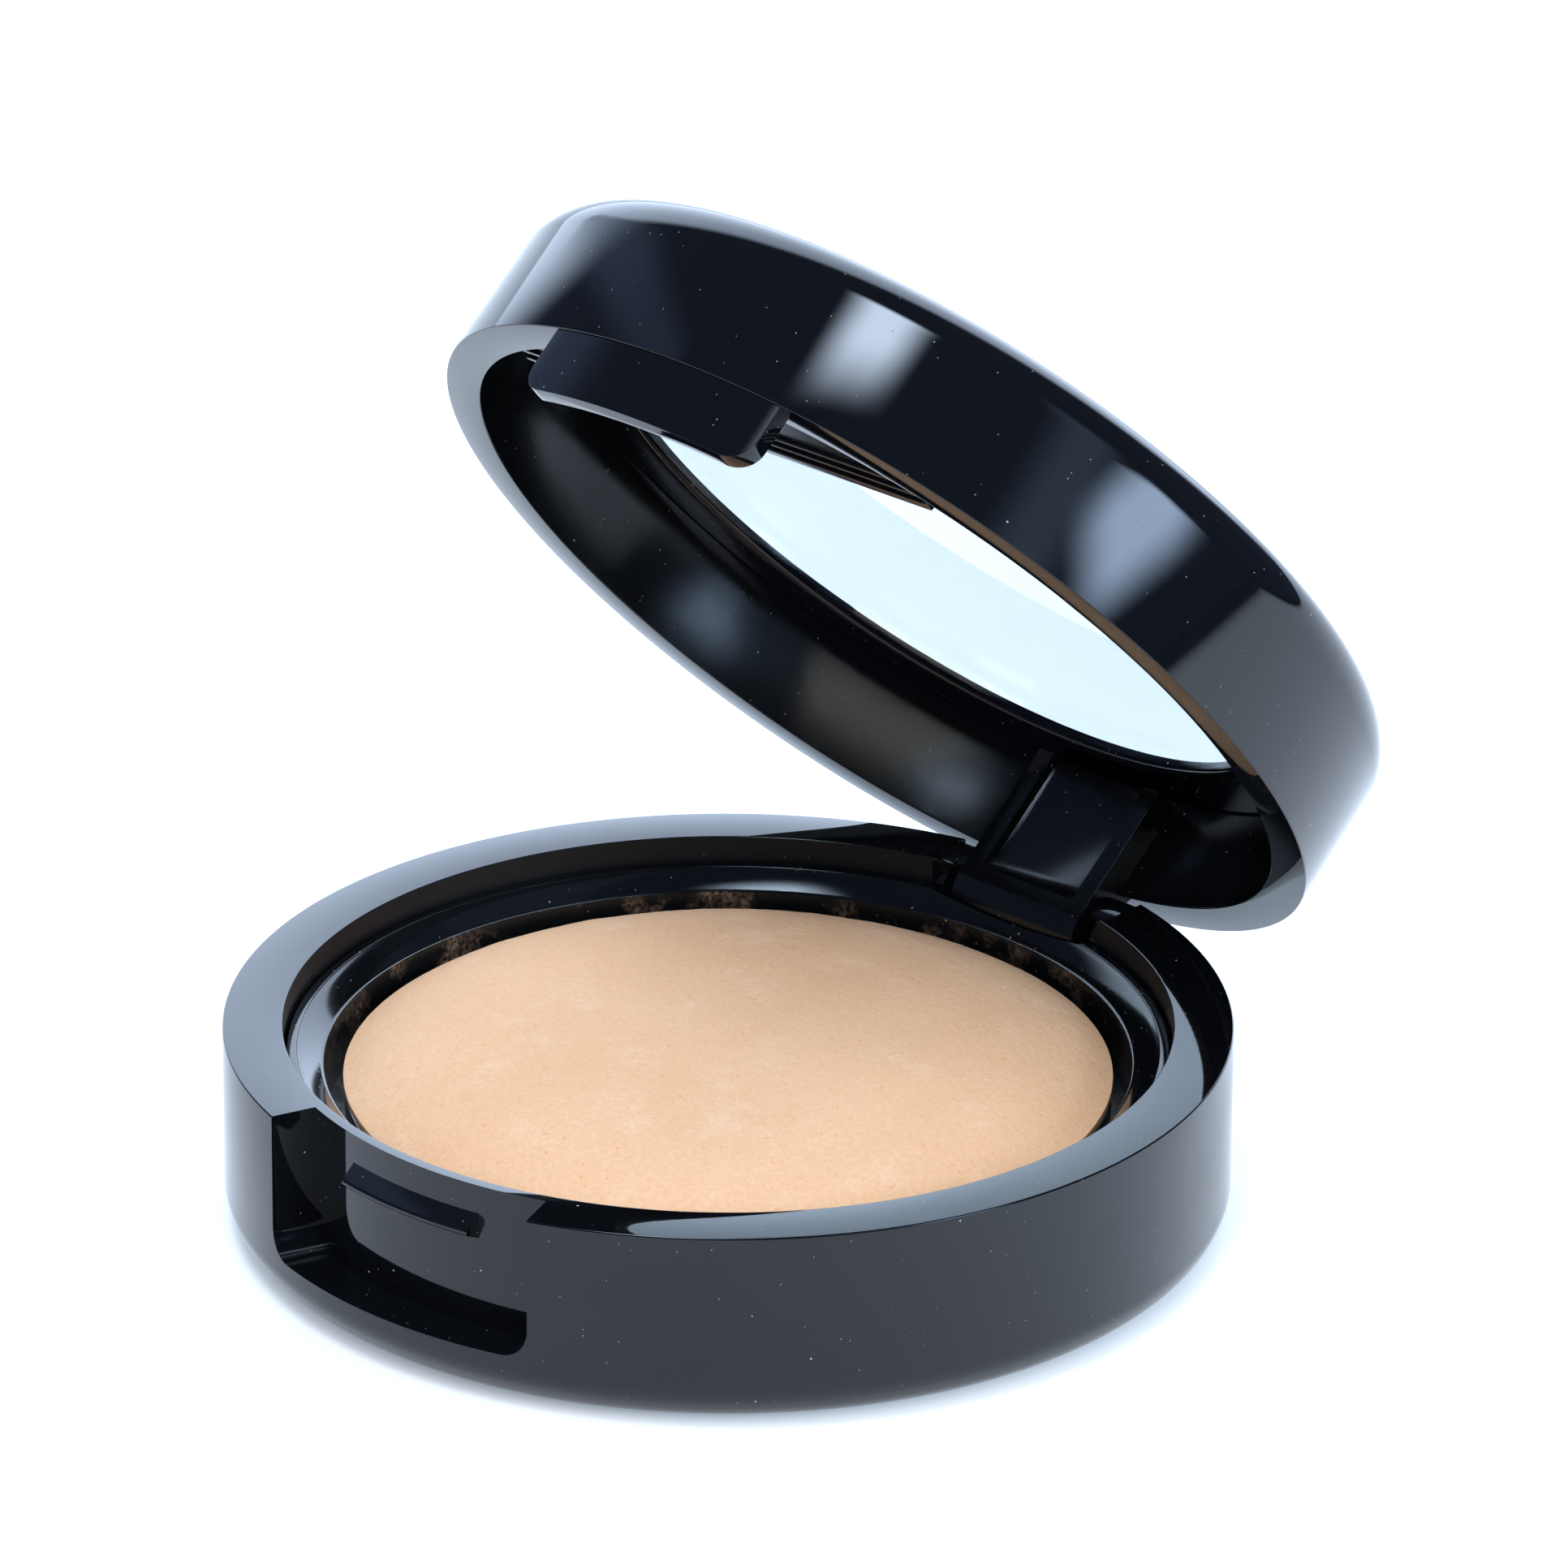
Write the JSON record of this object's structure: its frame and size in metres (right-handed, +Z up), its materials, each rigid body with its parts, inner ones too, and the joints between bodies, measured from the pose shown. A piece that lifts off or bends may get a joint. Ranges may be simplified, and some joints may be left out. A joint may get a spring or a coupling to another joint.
{
  "type": "powder compact",
  "caption": "Round glossy black face powder compact with a hinged lid, clear window, front latch notch and domed powder cake.",
  "frame": {"origin": "centre of the flat underside of the base, on the surface the compact stands on", "axes": "+Z up, +Y towards the hinge at the back, -Y towards the latch notch and tab, X along the hinge pin"},
  "size_m": [0.074, 0.0845, 0.0768],
  "materials": {
    "base_black": "polished",
    "tray_black": "gloss",
    "lid_black": "polished",
    "bezel_black": "gloss",
    "window_clear": "clear polished",
    "powder_beige": "fine matt powder",
    "pan_metal": "satin",
    "pin_steel": "drawn",
    "pad_white": "matt"
  },
  "bodies": {
    "base": {"base_shell": "base_black", "inner_tray": "tray_black", "pan_adhesive": "pad_white", "powder_pan": "pan_metal", "powder_cake": "powder_beige", "hinge_pin": "pin_steel"},
    "lid": {"lid_shell": "lid_black", "lid_window": "window_clear", "window_bezel": "bezel_black"}
  },
  "joints": [
    {"name": "lid_hinge", "type": "hinge", "parent": "base", "child": "lid", "pos_m": [0, 0.0346, 0.0121], "axis": [-1, 0, 0], "range_deg": [-51.24, 48.76]}
  ]
}
